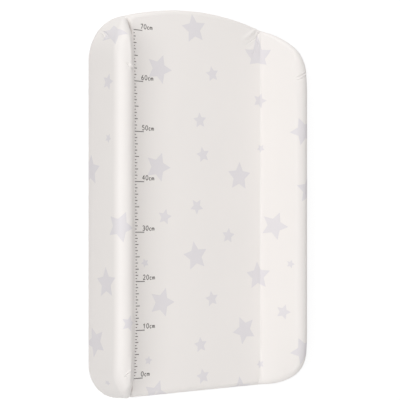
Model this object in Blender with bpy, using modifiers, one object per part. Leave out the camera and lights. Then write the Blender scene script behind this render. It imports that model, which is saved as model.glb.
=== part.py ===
"""Two-wedge changing mat lying on its back: a printed film cover and a plain back film, welded
together under the edge, round a stiffening board, a flat base foam and two wedge foams.

Metres, +Z up. X runs across the mat and +Y towards the arched head end. The origin is on the back
face, in the middle of the mat's length and width."""

import math

import bmesh
import bpy
from mathutils import Vector

# Outline of the mat, seen from above
MAT_WIDTH = 0.500
MAT_LENGTH = 0.794
HEAD_ARCH_RADIUS = 0.600
HEAD_CORNER_RADIUS = 0.099
FOOT_CORNER_RADIUS = 0.071

# Heights above the back face
PAD_HEIGHT = 0.032
CREST_HEIGHT = 0.1035

# Wedges along both sides. The outer walls lean in a little, so the edge's round turns less than
# a right angle from level
WEDGE_WIDTH = 0.0885
CREST_RADIUS = 0.0215
PAD_EDGE_RADIUS = 0.0095
WALL_TURN = math.radians(85.5)
HEAD_DROP = 0.0315
HEAD_DROP_RUN = 0.167
FOOT_DROP = 0.0205
FOOT_DROP_RUN = 0.114

# Covers, and the lap where they are welded on the back
FILM = 0.0005
WELD_EDGE_MARGIN = 0.006
WELD_LAP = 0.016
WELD_SETBACK = 0.004
WELD_WIDTH = 0.003
WELD_DEPTH_SHARE = 0.4

# Vent holes punched in the back film
VENT_DIAMETER = 0.005
VENT_ACROSS_SHARE = 0.5
VENT_ALONG_SHARE = 0.6

# Core
BOARD_THICKNESS = 0.003
FIT_GAP = 0.0003
GLUE_GAP = 0.0004
CUT_OVERRUN = 0.002

# Where the surface is divided: turns of the crest's round, shares of the slope and of the flat pad
CREST_TURN_SHARES = (0, 0.2, 0.6, 1)
SLOPE_SHARES = (0.33, 0.67, 1)
PAD_SHARES = (0.28, 0.64)
ROW_SHARES = (0, 0.035, 0.08, 0.13, 0.2, 0.5, 0.77, 0.84, 0.895, 0.94, 0.975, 1)
EDGE_TURN_SHARES = (0.35, 0.7, 1)
VENT_SIDES = 16

# Colours: linear red, green, blue and alpha
WHITE_FILM = (0.88, 0.85, 0.84, 1)
FOAM = (0.85, 0.80, 0.62, 1)
HARDBOARD = (0.30, 0.18, 0.09, 1)

# Worked out from the sizes above
HALF_WIDTH = MAT_WIDTH / 2
HEAD_Y = MAT_LENGTH / 2
FOOT_Y = -HEAD_Y
HEM_Z = FILM + FIT_GAP
BOARD_Z = HEM_Z + FILM + FIT_GAP
FOAM_Z = BOARD_Z + BOARD_THICKNESS + FIT_GAP
HEM_BEND = FOAM_Z - HEM_Z - FILM
BACK_INSET = HEM_BEND + WELD_EDGE_MARGIN
SKIN = FILM + FIT_GAP


def clear_scene():
    for item in list(bpy.data.objects):
        bpy.data.objects.remove(item, do_unlink=True)


def new_collection(name):
    collection = bpy.data.collections.new(name)
    bpy.context.scene.collection.children.link(collection)
    return collection


def new_material(name, colour, roughness):
    material = bpy.data.materials.new(name)
    material.diffuse_color = colour
    material.use_nodes = True
    shader = material.node_tree.nodes["Principled BSDF"]
    shader.inputs["Base Color"].default_value = colour
    shader.inputs["Roughness"].default_value = roughness
    shader.inputs["Metallic"].default_value = 0
    return material


def add_object(name, mesh, collection, material=None):
    item = bpy.data.objects.new(name, mesh)
    collection.objects.link(item)
    if material:
        mesh.materials.append(material)
    return item


# Surface of the mat's upper side


def reach_of(height, radius):
    """Distance from the outline in to the inner line of a rounded edge: its round and the wall's lean."""
    wall = height - radius * (1 - math.cos(WALL_TURN))
    return radius * math.sin(WALL_TURN) + wall / math.tan(WALL_TURN)


CREST_REACH = reach_of(CREST_HEIGHT, CREST_RADIUS)


def crest_height(y):
    """Height of the wedges' crest, which drops towards both ends."""
    to_head = max(0, 1 - (HEAD_Y - y) / HEAD_DROP_RUN)
    to_foot = max(0, 1 - (y - FOOT_Y) / FOOT_DROP_RUN)
    return CREST_HEIGHT - HEAD_DROP * to_head**2 - FOOT_DROP * to_foot**2


def slope_turn(crest):
    """Angle that the crest's round turns through before it meets the inner slope."""
    run = WEDGE_WIDTH - CREST_REACH
    fall = crest - CREST_RADIUS - PAD_HEIGHT
    return math.pi / 2 - (math.acos(CREST_RADIUS / math.hypot(run, fall)) - math.atan2(fall, run))


def surface_height(side, y):
    """Height at a distance from the mat's side: round crest, straight slope, flat pad."""
    if side >= WEDGE_WIDTH:
        return PAD_HEIGHT
    crest = crest_height(y)
    turn = slope_turn(crest)
    off_centre = side - CREST_REACH
    if off_centre <= CREST_RADIUS * math.sin(turn):
        return crest - CREST_RADIUS + math.sqrt(max(0, CREST_RADIUS**2 - off_centre**2))
    return PAD_HEIGHT + (WEDGE_WIDTH - side) * math.tan(turn)


def edge_at(side):
    """Radius of the rounded upper edge, larger over the wedges than at the flat pad's ends, and its reach."""
    height = surface_height(side, 0)
    lift = (height - PAD_HEIGHT) / (CREST_HEIGHT - PAD_HEIGHT)
    radius = PAD_EDGE_RADIUS + (CREST_RADIUS - PAD_EDGE_RADIUS) * lift
    return radius, reach_of(height, radius)


# Stations round the mat: the inner line of the rounded edge, with the way out, its radius and reach


def foot_station(x):
    radius, reach = edge_at(HALF_WIDTH - abs(x))
    turn_radius = FOOT_CORNER_RADIUS - reach
    along = min(1, max(0, (abs(x) - HALF_WIDTH + FOOT_CORNER_RADIUS) / turn_radius))
    out = Vector((math.copysign(along, x), -math.sqrt(1 - along**2), 0))
    return Vector((x, FOOT_Y + FOOT_CORNER_RADIUS + turn_radius * out.y, 0)), out, radius, reach


def head_station(x):
    radius, reach = edge_at(HALF_WIDTH - abs(x))
    arch_centre = HEAD_Y - HEAD_ARCH_RADIUS
    across = HALF_WIDTH - HEAD_CORNER_RADIUS
    between = HEAD_ARCH_RADIUS - HEAD_CORNER_RADIUS
    arch_radius = HEAD_ARCH_RADIUS - reach
    turn_radius = HEAD_CORNER_RADIUS - reach
    if abs(x) <= arch_radius * across / between:
        along = x / arch_radius
        out = Vector((along, math.sqrt(1 - along**2), 0))
        return Vector((x, arch_centre + arch_radius * out.y, 0)), out, radius, reach
    along = min(1, (abs(x) - across) / turn_radius)
    out = Vector((math.copysign(along, x), math.sqrt(1 - along**2), 0))
    corner_centre = arch_centre + math.sqrt(between**2 - across**2)
    return Vector((x, corner_centre + turn_radius * out.y, 0)), out, radius, reach


def column_places():
    """X of each column of the surface, with columns on the crests and in the folds."""
    turn = slope_turn(CREST_HEIGHT)
    sides = [CREST_REACH + CREST_RADIUS * math.sin(turn * share) for share in CREST_TURN_SHARES]
    round_end = sides[-1]
    sides += [round_end + (WEDGE_WIDTH - round_end) * share for share in SLOPE_SHARES]
    sides += [WEDGE_WIDTH + (HALF_WIDTH - WEDGE_WIDTH) * share for share in PAD_SHARES]
    left = [side - HALF_WIDTH for side in sides]
    return left + [0] + [-x for x in reversed(left)]


def surface_point(x, share):
    """Point on the upper surface, a share of the way from the foot edge to the head edge."""
    foot = foot_station(x)[0]
    head = head_station(x)[0]
    point = foot.lerp(head, share)
    point.z = surface_height(HALF_WIDTH - abs(x), point.y)
    return point


def upper_sheet():
    """Open sheet of the mat's upper side, and the stations of its border by vertex."""
    columns = column_places()
    last_column = len(columns) - 1
    last_row = len(ROW_SHARES) - 1
    sheet = bmesh.new()
    bmesh.ops.create_grid(sheet, x_segments=last_column, y_segments=last_row, size=0.5)
    stations = {}
    for vertex in sheet.verts:
        column = round((vertex.co.x + 0.5) * last_column)
        row = round((vertex.co.y + 0.5) * last_row)
        x = columns[column]
        vertex.co = surface_point(x, ROW_SHARES[row])
        if column in (0, last_column):
            out = Vector((math.copysign(1, x), 0, 0))
            stations[vertex] = (vertex.co.copy(), out, CREST_RADIUS, CREST_REACH)
        if row == 0:
            stations[vertex] = (vertex.co.copy(), *foot_station(x)[1:])
        if row == last_row:
            stations[vertex] = (vertex.co.copy(), *head_station(x)[1:])
    return sheet, stations


def add_ring(sheet, stations, place):
    """Extrudes the sheet's border once, and puts each new vertex where place says."""
    border = [edge for edge in sheet.edges if edge.is_boundary]
    made = bmesh.ops.extrude_edge_only(sheet, edges=border)["geom"]
    fresh = {item for item in made if isinstance(item, bmesh.types.BMVert)}
    moved = {}
    for old, station in stations.items():
        new = next(edge.other_vert(old) for edge in old.link_edges if edge.other_vert(old) in fresh)
        new.co = place(*station)
        moved[new] = station
    return moved


def outline_point(inset, z):
    """Gives the place of a ring that runs round the mat at an inset from its outline."""
    def place(inner, out, radius, reach):
        point = inner + out * (reach - inset)
        return Vector((point.x, point.y, z))
    return place


def edge_point(turn):
    """Gives the place of a ring on the rounded upper edge, turned outwards from the top."""
    def place(inner, out, radius, reach):
        drop = radius * (1 - math.cos(turn))
        return inner + out * radius * math.sin(turn) - Vector((0, 0, drop))
    return place


def walled_sheet(wall_foot):
    """Upper sheet with its rounded edge and its walls, down to the given height."""
    sheet, stations = upper_sheet()
    for share in EDGE_TURN_SHARES:
        stations = add_ring(sheet, stations, edge_point(WALL_TURN * share))
    stations = add_ring(sheet, stations, outline_point(0, wall_foot))
    return sheet, stations


def finish_mesh(sheet, name):
    bmesh.ops.recalc_face_normals(sheet, faces=sheet.faces)
    mesh = bpy.data.meshes.new(name)
    sheet.to_mesh(mesh)
    sheet.free()
    return mesh


# Covers


def make_top_cover(collection, material):
    """Printed film over the wedges and pad, down the walls and in under the edge as a hem."""
    sheet, stations = walled_sheet(HEM_Z + HEM_BEND)
    stations = add_ring(sheet, stations, outline_point(HEM_BEND, HEM_Z))
    add_ring(sheet, stations, outline_point(BACK_INSET + WELD_LAP, HEM_Z))
    sheet.normal_update()
    cover = add_object("top_cover", finish_mesh(sheet, "top_cover"), collection, material)
    film = cover.modifiers.new("Film thickness", "SOLIDIFY")
    film.thickness = FILM
    film.offset = -1
    film.use_even_offset = True
    cover.data.shade_smooth()
    return cover


def outline(inset):
    """Closed outline of the mat, drawn in by an inset, with only the ends of each straight run."""
    columns = column_places()
    stations = [foot_station(x) for x in columns] + [head_station(x) for x in reversed(columns)]
    place = outline_point(inset, 0)
    points = []
    for index, station in enumerate(stations):
        before = stations[index - 1][1]
        after = stations[(index + 1) % len(stations)][1]
        if station[1] != before or station[1] != after:
            points.append(place(*station))
    return points


def make_plate(name, thickness, z, insets, collection, material=None):
    """Flat sheet cut to the mat's outline. A second inset leaves only a band round the mat."""
    curve = bpy.data.curves.new(name, "CURVE")
    curve.dimensions = "2D"
    curve.fill_mode = "BOTH"
    curve.extrude = thickness / 2
    for inset in insets:
        points = outline(inset)
        spline = curve.splines.new("POLY")
        spline.points.add(len(points) - 1)
        for target, point in zip(spline.points, points):
            target.co = (point.x, point.y, 0, 1)
        spline.use_cyclic_u = True
    drawn = bpy.data.objects.new(name + " outline", curve)
    bpy.context.scene.collection.objects.link(drawn)
    bpy.context.view_layer.update()
    shape = bpy.data.meshes.new_from_object(drawn.evaluated_get(bpy.context.evaluated_depsgraph_get()))
    bpy.data.objects.remove(drawn, do_unlink=True)
    solid = bmesh.new()
    solid.from_mesh(shape)
    bmesh.ops.remove_doubles(solid, verts=solid.verts, dist=FIT_GAP / 10)
    plate = add_object(name, finish_mesh(solid, name), collection, material)
    plate.location.z = z + thickness / 2
    return plate


def cut(target, cutter):
    cutter.hide_render = True
    cutter.display_type = "WIRE"
    modifier = target.modifiers.new("Cut " + cutter.name, "BOOLEAN")
    modifier.operation = "DIFFERENCE"
    modifier.object = cutter


def make_vent_cutter(name, x, y, collection):
    bpy.ops.mesh.primitive_cylinder_add(
        vertices=VENT_SIDES, radius=VENT_DIAMETER / 2, depth=FILM + 2 * CUT_OVERRUN, location=(x, y, FILM / 2))
    cutter = bpy.context.object
    cutter.name = name
    for owner in list(cutter.users_collection):
        owner.objects.unlink(cutter)
    collection.objects.link(cutter)
    return cutter


def make_back_cover(collection, cutters, material):
    """Plain film under the board, lapped on the hem, with a pressed weld line and vent holes."""
    back = make_plate("back_cover", FILM, 0, [BACK_INSET], collection, material)
    weld_inset = BACK_INSET + WELD_SETBACK
    weld_depth = FILM * WELD_DEPTH_SHARE
    cut(back, make_plate("weld_line", weld_depth + CUT_OVERRUN, -CUT_OVERRUN,
                         [weld_inset, weld_inset + WELD_WIDTH], cutters))
    for across in (-1, 1):
        for along in (-1, 1):
            x = across * HALF_WIDTH * VENT_ACROSS_SHARE
            y = along * HEAD_Y * VENT_ALONG_SHARE
            cut(back, make_vent_cutter("vent", x, y, cutters))
    return back


# Core


def core_solid():
    """Closed solid of the whole foam core, which fills the film cover."""
    core, stations = walled_sheet(FOAM_Z)
    core.normal_update()
    for vertex in core.verts:
        vertex.co -= vertex.normal * (SKIN * vertex.calc_shell_factor())
    for vertex in stations:
        vertex.co.z = FOAM_Z
    bmesh.ops.holes_fill(core, edges=[edge for edge in core.edges if edge.is_boundary])
    return core


def slice_solid(solid, point, normal):
    """Cuts the solid with a plane, drops what lies on the normal's side and closes the cut."""
    geometry = list(solid.verts) + list(solid.edges) + list(solid.faces)
    bmesh.ops.bisect_plane(solid, geom=geometry, plane_co=point, plane_no=normal, clear_outer=True)
    bmesh.ops.holes_fill(solid, edges=[edge for edge in solid.edges if edge.is_boundary])


def make_base_foam(collection, material):
    """Flat foam under the whole mat."""
    base = core_solid()
    slice_solid(base, (0, 0, PAD_HEIGHT - SKIN - GLUE_GAP / 2), (0, 0, 1))
    return add_object("base_foam", finish_mesh(base, "base_foam"), collection, material)


def make_wedge_foam(name, hand, collection, material):
    """Wedge of foam glued along one side of the base foam."""
    wedge = core_solid()
    slice_solid(wedge, (0, 0, PAD_HEIGHT - SKIN + GLUE_GAP / 2), (0, 0, -1))
    other_side = [vertex for vertex in wedge.verts if vertex.co.x * hand < 0]
    bmesh.ops.delete(wedge, geom=other_side, context="VERTS")
    return add_object(name, finish_mesh(wedge, name), collection, material)


def make_mat():
    clear_scene()
    mat = new_collection("changing_mat")
    cutters = new_collection("cutters")
    film = new_material("white film", WHITE_FILM, 0.35)
    foam = new_material("foam", FOAM, 0.95)
    board = new_material("hardboard", HARDBOARD, 0.8)
    make_back_cover(mat, cutters, film)
    make_plate("stiffening_board", BOARD_THICKNESS, BOARD_Z, [HEM_BEND + SKIN], mat, board)
    make_base_foam(mat, foam)
    make_wedge_foam("wedge_foam_left", -1, mat, foam)
    make_wedge_foam("wedge_foam_right", 1, mat, foam)
    make_top_cover(mat, film)


make_mat()
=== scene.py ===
# %% [markdown]
# # A wedge-sided changing mat
# The mat is a wipe-clean film cover, drawn tight over a flat foam pad with a raised wedge along each side.
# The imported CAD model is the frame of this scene: it says how large everything is and where it lies. The
# script dresses that frame with a finely meshed film, its print, the back film and the foams inside.

import math

import bmesh
import bpy
from mathutils import Matrix, Vector


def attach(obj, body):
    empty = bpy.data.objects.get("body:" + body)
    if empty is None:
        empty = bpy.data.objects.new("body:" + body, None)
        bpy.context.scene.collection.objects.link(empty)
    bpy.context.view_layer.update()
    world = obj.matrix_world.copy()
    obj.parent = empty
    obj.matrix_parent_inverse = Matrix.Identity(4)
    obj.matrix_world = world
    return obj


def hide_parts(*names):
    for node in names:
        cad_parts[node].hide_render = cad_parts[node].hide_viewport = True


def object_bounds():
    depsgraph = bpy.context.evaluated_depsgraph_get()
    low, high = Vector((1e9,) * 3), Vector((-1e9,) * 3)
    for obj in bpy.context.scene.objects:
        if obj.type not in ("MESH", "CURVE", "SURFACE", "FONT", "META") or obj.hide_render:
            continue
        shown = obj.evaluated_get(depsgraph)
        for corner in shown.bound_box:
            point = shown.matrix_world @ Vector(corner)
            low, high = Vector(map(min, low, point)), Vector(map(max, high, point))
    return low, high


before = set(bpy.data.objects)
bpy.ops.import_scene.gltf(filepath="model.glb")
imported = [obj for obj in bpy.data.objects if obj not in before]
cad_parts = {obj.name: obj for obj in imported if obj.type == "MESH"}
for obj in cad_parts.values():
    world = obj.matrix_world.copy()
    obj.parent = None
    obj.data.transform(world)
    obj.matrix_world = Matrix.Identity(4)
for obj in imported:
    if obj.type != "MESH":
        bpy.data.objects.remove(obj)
cad_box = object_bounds()
bpy.context.scene.view_settings.view_transform = "Standard"
print("CAD box:", [[round(value, 4) for value in corner] for corner in cad_box])

# %% [markdown]
# ## The camera
# The photograph looks at the mat's lying side from its left, with the head end up in the picture. The mat
# lies on its back here, so the camera stands above its left side and its up direction is the mat's length.
# A longer lens from further away keeps the outlines as parallel as the photograph has them.

# %% Place the camera
VIEW_TURN = math.radians(35.24)
VIEW_DISTANCE = 2.4215
VIEW_ALONG = -0.0518
PICTURE = 400
FOCAL_PIXELS = 1151
AXIS_PIXEL_X = 191.05
AXIS_PIXEL_Y = 226.1


def place_camera():
    data = bpy.data.cameras.new("camera")
    data.sensor_width = 36
    data.lens = FOCAL_PIXELS / PICTURE * data.sensor_width
    data.shift_x = (PICTURE / 2 - AXIS_PIXEL_X) / PICTURE
    data.shift_y = (AXIS_PIXEL_Y - PICTURE / 2) / PICTURE
    camera = bpy.data.objects.new("camera", data)
    bpy.context.scene.collection.objects.link(camera)
    back = Vector((-math.sin(VIEW_TURN), 0, math.cos(VIEW_TURN)))
    up = Vector((0, 1, 0))
    right = up.cross(back)
    turn = Matrix((right, up, back)).transposed()
    camera.matrix_world = Matrix.Translation(back * VIEW_DISTANCE + up * VIEW_ALONG) @ turn.to_4x4()
    bpy.context.scene.camera = camera
    return camera


camera = place_camera()
print("Camera at", [round(value, 3) for value in camera.matrix_world.translation])

# %% [markdown]
# ## Small helpers
# Every piece is linked to the scene. Every finish is a tree of nodes, and so is every printed or repeated
# piece. So a few short helpers come first: one for pieces, one for any tree and one for finishes.

# %% Helpers for objects and node trees
def add_piece(name, mesh, material):
    piece = bpy.data.objects.new(name, mesh)
    bpy.context.scene.collection.objects.link(piece)
    mesh.materials.append(material)
    return piece


class Nodes:
    """A short way to add and join the nodes of one tree."""

    def __init__(self, tree):
        self.nodes = tree.nodes
        self.links = tree.links

    def join(self, source, target):
        self.links.new(source, target)

    def add(self, kind, sources=None, **settings):
        """Adds a node. Sources are outputs that feed its inputs, settings its options and input values."""
        node = self.nodes.new(kind)
        for key, value in settings.items():
            if key in node.inputs.keys():
                node.inputs[key].default_value = value
            else:
                setattr(node, key, value)
        for key, source in (sources or {}).items():
            self.join(source, node.inputs[key])
        return node

    def out(self, kind, sources=None, **settings):
        """Adds a node in the same way. Returns its first output."""
        return self.add(kind, sources, **settings).outputs[0]

    def math(self, operation, *values):
        """A math node of sockets or numbers. Returns its output."""
        node = self.add("ShaderNodeMath", operation=operation)
        for socket, value in zip(node.inputs, values):
            if isinstance(value, (int, float)):
                socket.default_value = value
            else:
                self.join(value, socket)
        return node.outputs[0]


# %% Helper for finishes
class Finish(Nodes):
    """A material, and the nodes that feed its shader."""

    def __init__(self, name, roughness):
        self.material = bpy.data.materials.new(name)
        self.material.use_nodes = True
        super().__init__(self.material.node_tree)
        self.shader = self.nodes["Principled BSDF"].inputs
        self.shader["Roughness"].default_value = roughness

    def place(self):
        return self.add("ShaderNodeTexCoord").outputs["Object"]

    def mix(self, share, first, second):
        mixed = self.add("ShaderNodeMix", {"Factor": share}, data_type="RGBA", A=first, B=second)
        return mixed.outputs["Result"]

    def bump(self, height, strength, distance, under=None):
        """A bump from a height, over another bump where one is given. Returns its normal."""
        sources = {"Height": height, "Normal": under} if under else {"Height": height}
        return self.out("ShaderNodeBump", sources, Strength=strength, Distance=distance)

    def end(self, colour, normal):
        """Feeds the shader with a colour and a normal. Returns the material."""
        self.join(colour, self.shader["Base Color"])
        self.join(normal, self.shader["Normal"])
        return self.material


# %% [markdown]
# ## Floor and light
# A white floor and plain soft light: an even sky, one large soft lamp on the camera's side, and others over
# the head and the foot. Together they make the slope that faces the camera the brightest and leave a soft
# shadow beside the left wedge. The camera sees the floor lifted to white, and it keeps the shadow of the mat.

# %% Build the floor
WHITE = (1, 1, 1, 1)
FLOOR_SIZE = 12
FLOOR_GAP = 0.0002
FLOOR_COLOUR = (0.55, 0.55, 0.55, 1)
FLOOR_LIFT = 0.60


def make_floor():
    bpy.ops.mesh.primitive_grid_add(size=FLOOR_SIZE, location=(0, 0, 0))
    floor = bpy.context.object
    floor.name = "floor"
    floor.location.z = cad_box[0][2] - FLOOR_GAP
    finish = Finish("pale floor", roughness=0.9)
    finish.shader["Base Color"].default_value = FLOOR_COLOUR
    finish.shader["Specular IOR Level"].default_value = 0
    finish.shader["Emission Color"].default_value = WHITE
    path = finish.add("ShaderNodeLightPath").outputs
    seen = finish.math("MAXIMUM", path["Is Camera Ray"], path["Is Glossy Ray"])
    finish.join(finish.math("MULTIPLY", seen, FLOOR_LIFT), finish.shader["Emission Strength"])
    floor.data.materials.append(finish.material)


make_floor()
print("Floor", FLOOR_SIZE, "m wide")

# %% Build the light
SKY_STRENGTH = 0.408
LAMP_SIZE = 1.5
LAMP_DISTANCE = 3.0
# Each lamp's turn to the side, its turn to the head end, and its power
LAMPS = {
    "side lamp": (math.radians(50), 0, 36.5),
    "head lamp": (0, math.radians(65), 31.1),
    "foot lamp": (0, math.radians(-50), 19.2),
}


def make_sky():
    """Soft even light from all round."""
    world = bpy.data.worlds.new("soft sky")
    world.use_nodes = True
    background = world.node_tree.nodes["Background"].inputs
    background["Color"].default_value = WHITE
    background["Strength"].default_value = SKY_STRENGTH
    bpy.context.scene.world = world


def make_lamp(name, to_side, to_head, power):
    data = bpy.data.lights.new(name, "AREA")
    data.shape = "SQUARE"
    data.size = LAMP_SIZE
    data.energy = power
    lamp = bpy.data.objects.new(name, data)
    bpy.context.scene.collection.objects.link(lamp)
    across = math.cos(to_head)
    away = Vector((-math.sin(to_side) * across, math.sin(to_head), math.cos(to_side) * across))
    lamp.location = away * LAMP_DISTANCE
    lamp.rotation_euler = away.to_track_quat("Z", "Y").to_euler()


make_sky()
for name, (to_side, to_head, power) in LAMPS.items():
    make_lamp(name, to_side, to_head, power)
print(len(LAMPS), "lamps", LAMP_SIZE, "m wide at", LAMP_DISTANCE, "m")

# %% [markdown]
# ## The mat's form
# The film follows the foam: a steep outer wall, a round crest, a straight inner slope and the flat pad.
# Towards both ends the wedges get lower, and the corners are round in plan. All of it is one height that
# depends on the distance from the mat's side and the place along its length.

# %% Sizes of the mat, from the frame where it has them
low, high = (Vector(corner) for corner in cad_box)
HALF_WIDTH = (high.x - low.x) / 2
HEAD_Y = high.y
FOOT_Y = low.y
CREST_HEIGHT = high.z
PAD_HEIGHT = 0.032
WEDGE_WIDTH = 0.0885
CREST_RADIUS = 0.0215
PAD_EDGE_RADIUS = 0.0095
WALL_TURN = math.radians(85.5)
HEAD_ARCH_RADIUS = 0.600
HEAD_CORNER_RADIUS = 0.099
FOOT_CORNER_RADIUS = 0.071
HEAD_DROP = 0.0315
HEAD_DROP_RUN = 0.167
FOOT_DROP = 0.0205
FOOT_DROP_RUN = 0.114
FOLD_SOFTNESS = 0.0012
SOFT_LIMIT = 30
FILM = 0.0005


def reach_of(height, radius):
    """From the outline in to the inner line of a rounded edge: its round and its wall's lean."""
    wall = height - radius * (1 - math.cos(WALL_TURN))
    return radius * math.sin(WALL_TURN) + wall / math.tan(WALL_TURN)


CREST_REACH = reach_of(CREST_HEIGHT, CREST_RADIUS)
print("Mat", 2 * HALF_WIDTH, "by", round(HEAD_Y - FOOT_Y, 3), "m, crest", round(CREST_HEIGHT, 3), "m high")

# %% Height of the plain film
def crest_height(y):
    to_head = max(0, 1 - (HEAD_Y - y) / HEAD_DROP_RUN)
    to_foot = max(0, 1 - (y - FOOT_Y) / FOOT_DROP_RUN)
    return CREST_HEIGHT - HEAD_DROP * to_head**2 - FOOT_DROP * to_foot**2


def slope_turn(crest):
    run = WEDGE_WIDTH - CREST_REACH
    fall = crest - CREST_RADIUS - PAD_HEIGHT
    return math.pi / 2 - (math.acos(CREST_RADIUS / math.hypot(run, fall)) - math.atan2(fall, run))


def soft_least(first, second, softness):
    """The lesser of two heights, rounded where they meet."""
    apart = (first - second) / softness
    if abs(apart) > SOFT_LIMIT:
        return min(first, second)
    return first - softness * math.log(1 + math.exp(apart))


def plain_height(side, y):
    """Height at a distance from the mat's side: round crest, straight slope, soft fold, flat pad."""
    crest = crest_height(y)
    turn = slope_turn(crest)
    off_centre = side - CREST_REACH
    if off_centre <= CREST_RADIUS * math.sin(turn):
        return crest - CREST_RADIUS + math.sqrt(max(0, CREST_RADIUS**2 - off_centre**2))
    slope = (WEDGE_WIDTH - side) * math.tan(turn)
    return -soft_least(-PAD_HEIGHT, -PAD_HEIGHT - slope, FOLD_SOFTNESS)


def ease(value):
    """Smooth step from 0 to 1."""
    value = min(1, max(0, value))
    return value * value * (3 - 2 * value)


print("Flat pad", round(plain_height(HALF_WIDTH, 0), 4), "m high")

# %% [markdown]
# The film is folded over both ends of the left wedge: there its crest turns sharp and its slope moves
# outwards. Such a fold could be left to a cloth simulation, but it would fall anywhere. So each is a few
# sizes that blend the plain form into the folded one.

# %% Height of the folded film
# Start and run of the fold, start and run of its tuck, and how far ridge, valley and pad move
HEAD_FOLD = (0.235, 0.050, 0.300, 0.050, 0.0045, 0.0120, 0.0050)
FOOT_FOLD = (0.290, 0.050, 0.335, 0.050, -0.0085, 0.0090, 0.0040)
RIDGE_SIDE = 0.0385
RIDGE_RISE = math.tan(math.radians(5))
TUCK_LIP = 0.0070
ROUND_SOFTNESS = 0.0039
RIDGE_SOFTNESS = 0.0016


def folded_height(side, y):
    """Height where the film is folded over an end of the left wedge, and the share of the fold there."""
    start, run, tuck_start, tuck_run, ridge_shift, valley_shift, dip = HEAD_FOLD if y > 0 else FOOT_FOLD
    folded = ease((abs(y) - start) / run)
    tuck = min(1, max(0, (abs(y) - tuck_start) / tuck_run)) ** 2
    ridge_side = RIDGE_SIDE - ridge_shift * tuck
    valley_side = WEDGE_WIDTH - valley_shift * tuck
    valley = PAD_HEIGHT - dip * tuck
    top = crest_height(y) + (ridge_side - CREST_REACH) * RIDGE_RISE * folded
    rise = RIDGE_RISE * folded * (side - ridge_side)
    fall = (top - valley) / (valley_side - ridge_side) * (side - ridge_side)
    softness = ROUND_SOFTNESS + (RIDGE_SOFTNESS - ROUND_SOFTNESS) * folded
    wedge = soft_least(top + rise, top - fall, softness)
    lip = min(PAD_HEIGHT, valley + max(0, side - valley_side) * dip / TUCK_LIP)
    return -soft_least(-wedge, -lip, FOLD_SOFTNESS), ease((abs(y) - start) / run * 2)


def surface_height(x, y):
    """Height of the film's upper side over the whole mat."""
    side = HALF_WIDTH - abs(x)
    plain = plain_height(side, y)
    if x > 0 or side > WEDGE_WIDTH + TUCK_LIP:
        return plain
    height, share = folded_height(side, y)
    return plain + (height - plain) * share


def edge_at(side):
    """Radius of the rounded edge at a distance from the mat's side, and its reach from the outline."""
    height = plain_height(side, 0)
    lift = (height - PAD_HEIGHT) / (CREST_HEIGHT - PAD_HEIGHT)
    radius = PAD_EDGE_RADIUS + (CREST_RADIUS - PAD_EDGE_RADIUS) * min(1, lift)
    return radius, reach_of(height, radius)


print("Left crest at the head end", round(surface_height(RIDGE_SIDE - HALF_WIDTH, HEAD_FOLD[2]), 3), "m high")

# %% Stations round the edge
def foot_station(x):
    """Inner line of the rounded edge at the foot end: its point, the way out, its radius and its reach."""
    radius, reach = edge_at(HALF_WIDTH - abs(x))
    turn_radius = FOOT_CORNER_RADIUS - reach
    along = min(1, max(0, (abs(x) - HALF_WIDTH + FOOT_CORNER_RADIUS) / turn_radius))
    out = Vector((math.copysign(along, x), -math.sqrt(1 - along**2)))
    return Vector((x, FOOT_Y + FOOT_CORNER_RADIUS + turn_radius * out.y)), out, radius, reach


def head_station(x):
    radius, reach = edge_at(HALF_WIDTH - abs(x))
    arch_centre = HEAD_Y - HEAD_ARCH_RADIUS
    across = HALF_WIDTH - HEAD_CORNER_RADIUS
    between = HEAD_ARCH_RADIUS - HEAD_CORNER_RADIUS
    arch_radius = HEAD_ARCH_RADIUS - reach
    turn_radius = HEAD_CORNER_RADIUS - reach
    if abs(x) <= arch_radius * across / between:
        along = x / arch_radius
        out = Vector((along, math.sqrt(1 - along**2)))
        return Vector((x, arch_centre + arch_radius * out.y)), out, radius, reach
    along = min(1, (abs(x) - across) / turn_radius)
    out = Vector((math.copysign(along, x), math.sqrt(1 - along**2)))
    corner_centre = arch_centre + math.sqrt(between**2 - across**2)
    return Vector((x, corner_centre + turn_radius * out.y)), out, radius, reach


print("Inner line of the edge from y", round(foot_station(0)[0].y, 3), "to", round(head_station(0)[0].y, 3))

# %% [markdown]
# ## The film
# A real cover is cut flat, printed flat and drawn over the foam. So the mesh is made as one sheet: a grid
# over the top whose columns run along the mat, then rings that carry its border round the edge, down the
# walls and in under the back. Each point also remembers its place on the flat film, in metres, as its UV.
# The print uses that map, which bends a star over a crest as the real film does.

# %% Columns and rows of the film
CORNER_STEPS = 14
CORNER_STEP_ANGLE = math.radians(3.5)
CREST_COLUMNS = 13
SLOPE_COLUMNS = 34
FOLD_COLUMNS = 8
FOLD_SPAN = 0.006
NEAR_COLUMNS = 16
NEAR_SPAN = 0.036
FLAT_COLUMNS = 25
ROWS = 260
ROW_CROWDING = 0.095
EDGE_RINGS = 12
WALL_RINGS = 12
BEND_RINGS = 4
HEM_BEND = 0.0036
HEM_Z = 0.0008
HEM_INSET = 0.0256


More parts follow.
